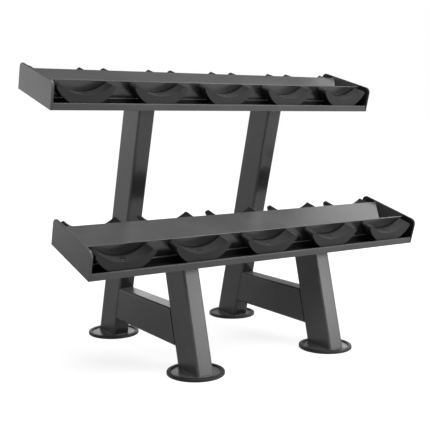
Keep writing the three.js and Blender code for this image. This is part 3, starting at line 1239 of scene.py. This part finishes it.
    def make_spine_base(self) -> None:
        """Makes the folded channel under the spine, with a window for each saddle's bridge."""
        bm = bmesh.new()
        half, length = self.base_width / 2, self.inner_half - self.gap
        bottom = self.floor_thickness + self.gap
        block(bm, (-length, -half, bottom), (length, half, self.base_top))
        drop_faces(bm, lambda mid, normal: abs(normal.x) > ALONG or normal.z < -ALONG)
        top = self.base_top - NEAR
        round_where(
            bm, self.base_edge, lambda mid, way: way.x > ALONG and mid.z > top, segments=4
        )
        sill = self.saddle.floor_top + self.saddle.bridge_thickness + self.window_margin
        reach = self.saddle.foot_width / 2 + self.window_margin
        centres = [self.saddle_middle(n) for n in range(1, self.saddle_count + 1)]
        for line in (x + way * reach for x in centres for way in (-1, 1)):
            score(bm, walls(bm), Vector((line, 0, 0)), Vector((1, 0, 0)))
        score(bm, walls(bm), Vector((0, 0, sill)), Vector((0, 0, 1)))
        drop_faces(
            bm,
            lambda mid, normal: abs(normal.y) > ALONG
            and mid.z < sill
            and any(abs(mid.x - x) < reach for x in centres),
        )
        give_thickness(bm, self.base_wall)
        # The channel's front and rear walls take the near-black coat as painted shade below the
        # spine; its top keeps the plain coat.
        mark(walls(bm))
        name = f"{self.name}_spine_base"
        self.shop.finish(
            f"{name}_channel", bm, self.place, Slot.COAT, [name], marked=BLACK_PAINTED_SHADE_COAT
        )

    def make_spine(self) -> None:
        """Makes the hollow spine, with the open corner in its top beside the right end plate."""
        bm = bmesh.new()
        half, length = self.spine_width / 2, self.inner_half - self.gap
        bottom = self.base_top + self.gap
        top = bottom + self.spine_height
        block(bm, (-length, -half, bottom), (length, half, top))
        drop_faces(bm, lambda mid, normal: abs(normal.x) > ALONG)
        round_where(bm, self.spine_corner, lambda mid, way: way.x > ALONG, segments=6)
        front = self.notch_rim - half
        apex = Vector((length - self.notch_length, front, top))
        slope = Vector((self.notch_length, self.notch_depth, 0))
        diagonal = Vector((slope.y, -slope.x, 0)).normalized()
        score(bm, self.upper_faces(bm, top), apex, Vector((0, 1, 0)))
        score(bm, self.upper_faces(bm, top), apex, diagonal)
        drop_faces(
            bm,
            lambda mid, normal: normal.z > UPWARD
            and mid.y > front
            and (mid - apex).dot(diagonal) > NEAR,
        )
        give_thickness(bm, self.spine_wall)
        # The spine's front and rear walls take the darker, glossier coat; its darker colour is
        # painted shade.
        mark(walls(bm))
        name = f"{self.name}_spine"
        self.shop.finish(
            f"{name}_cover", bm, self.place, Slot.COAT, [name], marked=GLOSSY_PAINTED_SHADE_COAT
        )

    def upper_faces(self, bm: BMesh, top: float) -> list[BMFace]:
        """The faces of the spine that make its top and its top's rounded edges.

        Args:
            bm: the spine.
            top: the height of its top.

        Returns:
            The faces.
        """
        bm.normal_update()
        low = top - self.spine_corner
        return [face for face in bm.faces if face.calc_center_median().z > low]

    def saddle_middle(self, number: int) -> float:
        """Where a saddle's middle lies across the rack."""
        return box_mm(f"{self.name}_saddle_{number}")[2].x

    def make_saddle(self, number: int) -> None:
        """Makes a saddle and its screw.

        Args:
            number: the saddle's number, from the left.
        """
        across = Matrix.Translation((self.saddle_middle(number) * MM, 0, 0))
        place = self.place @ across
        node = f"{self.name}_saddle_{number}"
        self.shop.finish(f"{node}_moulding", self.saddle.shape(), place, Slot.SADDLE, [node])
        seat = place @ Matrix.Translation(self.saddle.screw_place * MM)
        screw_node = f"{self.name}_saddle_screw_{number}"
        screw = self.saddle.screw.shape()
        self.shop.finish(f"{node}_screw", screw, seat, Slot.BLACK, [screw_node])

    def make_head_plate(self, side: Side) -> None:
        """Makes the plate that joins the tray to a post, and its two bolts.

        Args:
            side: the side frame that it stands on.
        """
        node = f"{self.name}_head_plate_{side.value}"
        low, high, middle = box_mm(node)
        thickness, tilt = self.head_plate_thickness, math.radians(self.tilt)
        half_depth = ((high.y - low.y) - thickness * math.sin(tilt)) / math.cos(tilt) / 2
        half_width = (high.x - low.x) / 2
        bm = bmesh.new()
        block(
            bm,
            (middle.x - half_width, -half_depth, -self.gap - thickness),
            (middle.x + half_width, half_depth, -self.gap),
        )
        round_where(bm, self.head_plate_corner, lambda mid, way: way.z > ALONG, segments=6)
        round_edges(bm, sharp_edges(bm), self.bar_edge, segments=2)
        self.shop.finish(f"{node}_steel", bm, self.place, Slot.COAT, [node])
        for number, way in enumerate((-1, 1), start=1):
            spot = Vector((middle.x + way * self.bolt_offset, 0, 0))
            place = self.place @ Matrix.Translation(spot * MM)
            bolt_node = f"{self.name}_head_bolt_{side.value}_{number}"
            name = f"{bolt_node}_and_nut"
            self.shop.finish(name, self.bolt.shape(), place, Slot.ZINC, [bolt_node])


# ------------------------------------------------------------------ side frame


@dataclass(frozen=True)
class Foot:
    """A round rubber foot around a steel base disc. The floor is height 0."""

    diameter: float = 186.0
    height: float = 10.0
    edge: float = 3.0
    edge_steps: int = 6
    heel: float = 1.0
    floor: float = 2.0
    recess: float = 160.0
    lip: float = 1.2
    disc_gap: float = 0.3
    disc_thickness: float = 4.0
    disc_edge: float = 0.8
    disc_edge_bulge: float = 0.3
    sides: int = 96

    def rubber(self) -> BMesh:
        """Makes the rubber foot with its recess and its rounded rim.

        Returns:
            The foot.
        """
        bm = bmesh.new()
        out, rim, top = self.diameter / 2, self.recess / 2, self.height
        angles = [QUARTER * step / self.edge_steps for step in range(self.edge_steps + 1)]
        across, up = out - self.edge, top - self.edge
        profile = [
            (0, 0),
            (out - self.heel, 0),
            (out, self.heel),
            *((across + self.edge * math.cos(a), up + self.edge * math.sin(a)) for a in angles),
            (rim + self.lip, top),
            (rim, top - self.lip),
            (rim, self.floor),
            (0, self.floor),
        ]
        turn(bm, profile, self.sides)
        return bm

    def disc(self) -> BMesh:
        """Makes the steel base disc with its softened edge.

        Returns:
            The disc.
        """
        bm = bmesh.new()
        radius = self.recess / 2 - self.disc_gap
        low = self.floor + self.disc_gap
        top = low + self.disc_thickness
        edge = self.disc_edge
        bulge = edge * self.disc_edge_bulge
        profile = [
            (0, low),
            (radius, low),
            (radius, top - edge),
            (radius - bulge, top - bulge),
            (radius - edge, top),
            (0, top),
        ]
        turn(bm, profile, self.sides)
        return bm


@dataclass
class SideFrame:
    """A front leg, a rear upright, the brace between them, and what they stand on."""

    side: Side
    shop: Workshop
    trays: dict[End, Tray]
    tube_width: float = 60.0
    tube_depth: float = 120.0
    tube_corner: float = 8.0
    corner_steps: int = 7
    foot: Foot = Foot()
    weld: float = 3.0
    weld_round: float = 2.7

    def build(self) -> None:
        """Makes every piece of the side frame."""
        for end in End:
            self.make_foot(end)
            self.make_post(end)
            self.make_foot_weld(end)
        self.make_brace()

    def foot_middle(self, end: End) -> Vector:
        """The middle of a base disc's top."""
        _, high, middle = box_mm(f"{self.side.value}_{end.value}_base_plate")
        return Vector((middle.x, middle.y, high.z))

    def post_frame(self, end: End) -> Matrix:
        """A post's own frame in millimetres: Z along the post, Y square to its rear face.

        Args:
            end: where the post stands.

        Returns:
            The frame.
        """
        foot = self.foot_middle(end)
        head = self.trays[end].place.translation / MM
        lean = math.atan2(head.y - foot.y, head.z - foot.z)
        return Matrix.Translation(foot) @ Matrix.Rotation(-lean, 4, "X")

    def tube(self, low: Sequence[float], high: Sequence[float], along: int) -> BMesh:
        """Makes a length of tube with rounded long corners.

        Args:
            low: one corner.
            high: the opposite corner.
            along: the number of the axis that it runs along.

        Returns:
            The tube.
        """
        bm = bmesh.new()
        block(bm, low, high)
        round_where(bm, self.tube_corner, lambda mid, way: way[along] > ALONG, self.corner_steps)
        return bm

    def make_post(self, end: End) -> None:
        """Makes the front leg or the rear upright, cut to the base disc and the tray.

        Args:
            end: where it stands.
        """
        half_x, half_y = self.tube_width / 2, self.tube_depth / 2
        tray = self.trays[end]
        frame = self.post_frame(end)
        underside = tray.place.translation / MM
        length = (underside - frame.translation).length
        bm = self.tube((-half_x, -half_y, -half_y), (half_x, half_y, length + half_y), along=2)
        bmesh.ops.transform(bm, matrix=frame, verts=bm.verts[:])
        cut_away(bm, self.foot_middle(end), Vector((0, 0, -1)))
        upward = tray.place.to_3x3() @ Vector((0, 0, 1))
        head = underside - upward * (tray.head_plate_thickness + tray.gap)
        cut_away(bm, head, upward)
        part, marked = "front_leg", None
        # The upright's front and rear faces take the darker, glossier coat; its darker colour is
        # painted shade.
        if end is End.REAR:
            part, marked = "rear_upright", GLOSSY_PAINTED_SHADE_COAT
            mark(walls(bm))
        node = f"{self.side.value}_{part}"
        self.shop.finish(f"{node}_tube", bm, Matrix.Identity(4), Slot.COAT, [node], marked)

    def make_foot_weld(self, end: End) -> None:
        """Makes the fillet weld where a post meets its base disc.

        Args:
            end: where the post stands.
        """
        frame = self.post_frame(end)
        lean = abs(frame.to_euler().x)
        half_x = self.tube_width / 2 + self.weld
        half_y = self.tube_depth / 2 / math.cos(lean) + self.weld
        bm = bmesh.new()
        block(bm, (-half_x, -half_y, 0), (half_x, half_y, self.weld))
        corner = self.tube_corner + self.weld
        round_where(bm, corner, lambda mid, way: way.z > ALONG, self.corner_steps)
        rim = [e for e in sharp_edges(bm) if min(v.co.z for v in e.verts) > self.weld - NEAR]
        round_edges(bm, rim, self.weld_round, segments=4)
        place = Matrix.Translation(self.foot_middle(end) * MM)
        name = f"{self.side.value}_{end.value}_foot_weld"
        self.shop.finish(name, bm, place, Slot.COAT)

    def make_brace(self) -> None:
        """Makes the level brace, cut to the leg's rear face and the upright's front face."""
        node = f"{self.side.value}_brace"
        low, high, middle = box_mm(node)
        half_x, half_z = self.tube_width / 2, self.tube_depth / 2
        bm = self.tube(
            (middle.x - half_x, low.y - half_z, middle.z - half_z),
            (middle.x + half_x, high.y + half_z, middle.z + half_z),
            along=1,
        )
        for end in End:
            frame = self.post_frame(end)
            inward = frame.to_3x3() @ Vector((0, -end.sign, 0))
            face = frame.translation + inward * self.tube_depth / 2
            cut_away(bm, face, -inward)
        self.shop.finish(f"{node}_tube", bm, Matrix.Identity(4), Slot.COAT, [node])

    def make_foot(self, end: End) -> None:
        """Makes a rubber foot and the steel disc in it.

        Args:
            end: where they lie.
        """
        middle = self.foot_middle(end)
        place = Matrix.Translation((middle.x * MM, middle.y * MM, 0))
        stem = f"{self.side.value}_{end.value}"
        foot_node, disc_node = f"{stem}_foot", f"{stem}_base_plate"
        self.shop.finish(f"{foot_node}_rubber", self.foot.rubber(), place, Slot.FOOT, [foot_node])
        self.shop.finish(f"{disc_node}_disc", self.foot.disc(), place, Slot.COAT, [disc_node])


# ------------------------------------------------------------------ studio


@dataclass(frozen=True)
class SoftLamp:
    """A square soft box that faces a point on the rack."""

    name: str
    place: tuple[float, float, float]
    size: float
    power: float
    target: tuple[float, float, float] = (0.0, 0.0, 0.5)

    def build(self) -> None:
        """Adds the lamp to the scene."""
        data = bpy.data.lights.new(self.name, "AREA")
        data.shape = "SQUARE"
        data.size = self.size
        data.energy = self.power
        lamp = add_object(self.name, data)
        lamp.location = self.place
        way = Vector(self.target) - Vector(self.place)
        lamp.rotation_euler = way.to_track_quat("-Z", "Y").to_euler()


@dataclass(frozen=True)
class Studio:
    """A pale floor, an even pale surround, soft lamps and the camera."""

    floor_colour: str = "#8c8c8c"
    floor_size: float = 60.0
    floor_lift: float = 0.86
    floor_fade: tuple[float, float] = (1.0, 3.0)
    # Where the floor's white is turned down for mirrored rays: painted shade in the rack's
    # reflections.
    shade_place: tuple[float, float, float] = (-1.0, 1.2, 0.0)
    shade_lift: float = 0.3
    shade_fade: tuple[float, float] = (0.8, 2.4)
    surround: tuple[tuple[float, str], ...] = (
        (0.0, "#ffffff"),
        (0.15, "#ffffff"),
        (0.32, "#202020"),
        (1.0, "#262626"),
    )
    sensor_mm: float = 36.0
    lens_mm: float = 67.76
    camera_place: tuple[float, float, float] = (-1.590, -2.4039, 0.8125)
    camera_turn: tuple[float, float, float] = (82.99, 0.0, -33.40)
    lamps: tuple[SoftLamp, ...] = (
        SoftLamp("front_soft_box", (1.8, -2.79, 1.18), 1.4, 82.0),
        SoftLamp("front_high_soft_box", (0.0, -1.6, 3.27), 1.6, 38.0),
        SoftLamp("left_high_soft_box", (-1.13, -1.13, 3.27), 1.6, 37.0),
        SoftLamp("overhead_soft_box", (0.0, -0.1, 3.5), 1.8, 55.0),
        SoftLamp("right_high_soft_box", (1.6, 0.0, 3.27), 1.6, 12.0),
        SoftLamp("right_soft_box", (2.88, 0.0, 2.3), 1.5, 40.0),
        SoftLamp("rear_right_soft_box", (2.88, 1.66, 1.21), 1.3, 16.0),
        SoftLamp("rear_soft_box", (1.14, 3.13, 1.21), 1.3, 10.0),
        SoftLamp("rear_high_soft_box", (1.88, 1.31, 2.87), 1.2, 2.0),
        SoftLamp("rear_left_soft_box", (-1.66, 2.88, 1.21), 1.3, 3.0),
    )

    def build(self) -> None:
        """Sets up the floor, the surround, the lamps and the camera."""
        self.make_floor()
        self.make_surround()
        for lamp in self.lamps:
            lamp.build()
        self.make_camera()
        bpy.context.scene.view_settings.view_transform = "Standard"

    def make_floor(self) -> None:
        """Makes the floor, which shows white around the rack and keeps its soft shadow."""
        bm = bmesh.new()
        bmesh.ops.create_grid(bm, x_segments=1, y_segments=1, size=self.floor_size / 2)
        floor = add_object("studio_floor", mesh_from(bm, "studio_floor"))
        material = bpy.data.materials.new("matt_paper")
        tree = clear_tree(material)
        paper = add_node(
            tree, "ShaderNodeBsdfDiffuse", {"Color": linear(self.floor_colour), "Roughness": 1.0}
        )
        white = add_node(
            tree, "ShaderNodeEmission", {"Color": (1, 1, 1, 1)}, {"Strength": self.lift(tree)}
        )
        both = add_node(
            tree, "ShaderNodeAddShader", links={0: paper.outputs[0], 1: white.outputs[0]}
        )
        add_node(tree, "ShaderNodeOutputMaterial", links={"Surface": both.outputs[0]})
        floor.data.materials.append(material)

    def lift(self, tree: NodeTree) -> NodeSocket:
        """How much white the floor adds: all of it far out, and less near the rack.

        Behind the rack's left end the white is turned down for mirrored rays only: a painted shade
        that shows only in the rack's reflections.

        Args:
            tree: the floor's node tree.

        Returns:
            The output that gives the strength.
        """
        seen = self.background_rays(tree)
        near_rack = self.rise(tree, (0.0, 0.0, 0.0), self.floor_fade, self.floor_lift)
        # Painted shade for mirrored rays, darkest behind the rack's left end.
        shade_spot_rise = self.rise(tree, self.shade_place, self.shade_fade, self.shade_lift)
        glossy = add_node(tree, "ShaderNodeLightPath").outputs["Is Glossy Ray"]
        mirrored_shade = add_node(
            tree, "ShaderNodeMix", {"data_type": "FLOAT", "A": 1.0}, {0: glossy, 3: shade_spot_rise}
        ).outputs[0]
        for factor in (near_rack, mirrored_shade):
            links = {0: seen, 1: factor}
            seen = add_node(tree, "ShaderNodeMath", {"operation": "MULTIPLY"}, links).outputs[0]
        return seen

    def rise(
        self,
        tree: NodeTree,
        middle: Sequence[float],
        reach: tuple[float, float],
        least: float,
    ) -> NodeSocket:
        """Makes a value that rises smoothly to 1 with the distance from a point.

        Args:
            tree: the floor's node tree.
            middle: the point.
            reach: the distances at which the value starts to rise and is 1.
            least: the value at the point.

        Returns:
            The output that gives the value.
        """
        place = add_node(tree, "ShaderNodeTexCoord").outputs["Object"]
        away = add_node(
            tree, "ShaderNodeVectorMath", {"operation": "DISTANCE", 1: middle}, {0: place}
        ).outputs["Value"]
        ends = {"From Min": reach[0], "From Max": reach[1], "To Min": least, "To Max": 1.0}
        return add_node(
            tree, "ShaderNodeMapRange", {"interpolation_type": "SMOOTHSTEP", **ends}, {0: away}
        ).outputs["Result"]

    def background_rays(self, tree: NodeTree) -> NodeSocket:
        """A value that is 1 for the camera's rays and for mirrored and refracted ones.

        Args:
            tree: the node tree that asks.

        Returns:
            The output that gives the value.
        """
        path = add_node(tree, "ShaderNodeLightPath").outputs
        seen = path["Is Camera Ray"]
        for kind in ("Is Glossy Ray", "Is Transmission Ray"):
            links = {0: seen, 1: path[kind]}
            seen = add_node(tree, "ShaderNodeMath", {"operation": "MAXIMUM"}, links).outputs[0]
        return seen

    def make_surround(self) -> None:
        """Makes the world: white behind the rack, and a pale wall that darkens upwards on it."""
        world = bpy.data.worlds.new("studio_surround")
        bpy.context.scene.world = world
        tree = clear_tree(world)
        way = add_node(tree, "ShaderNodeTexCoord").outputs["Generated"]
        height = add_node(tree, "ShaderNodeSeparateXYZ", links={"Vector": way}).outputs["Z"]
        ramp = add_node(tree, "ShaderNodeValToRGB", links={"Fac": height})
        stops = ramp.color_ramp.elements
        for place, shade in self.surround[1:-1]:
            stops.new(place)
        for stop, (place, shade) in zip(stops, self.surround):
            stop.position, stop.color = place, linear(shade)
        soft = add_node(tree, "ShaderNodeBackground", links={"Color": ramp.outputs["Color"]})
        add_node(tree, "ShaderNodeOutputWorld", links={"Surface": soft.outputs[0]})

    def make_camera(self) -> None:
        """Makes the camera at the height of the upper tray, before the rack's left end."""
        data = bpy.data.cameras.new("view")
        data.sensor_width = self.sensor_mm
        data.lens = self.lens_mm
        camera = add_object("view", data)
        camera.location = self.camera_place
        camera.rotation_euler = [math.radians(angle) for angle in self.camera_turn]
        bpy.context.scene.camera = camera


@dataclass
class Rack:
    """The whole rack: two trays on two side frames."""

    shop: Workshop

    def build(self) -> None:
        """Makes the trays, then the frames that carry them."""
        lower, upper = (Tray(tier, self.shop) for tier in Tier)
        for tray in (lower, upper):
            tray.build()
        for side in Side:
            SideFrame(side, self.shop, {End.FRONT: lower, End.REAR: upper}).build()


def main() -> None:
    """Loads the solids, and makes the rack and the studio."""
    logging.basicConfig(level=logging.INFO, format="%(name)s: %(message)s")
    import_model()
    Rack(Workshop(Paintshop())).build()
    Studio().build()


if __name__ == "__main__":
    main()
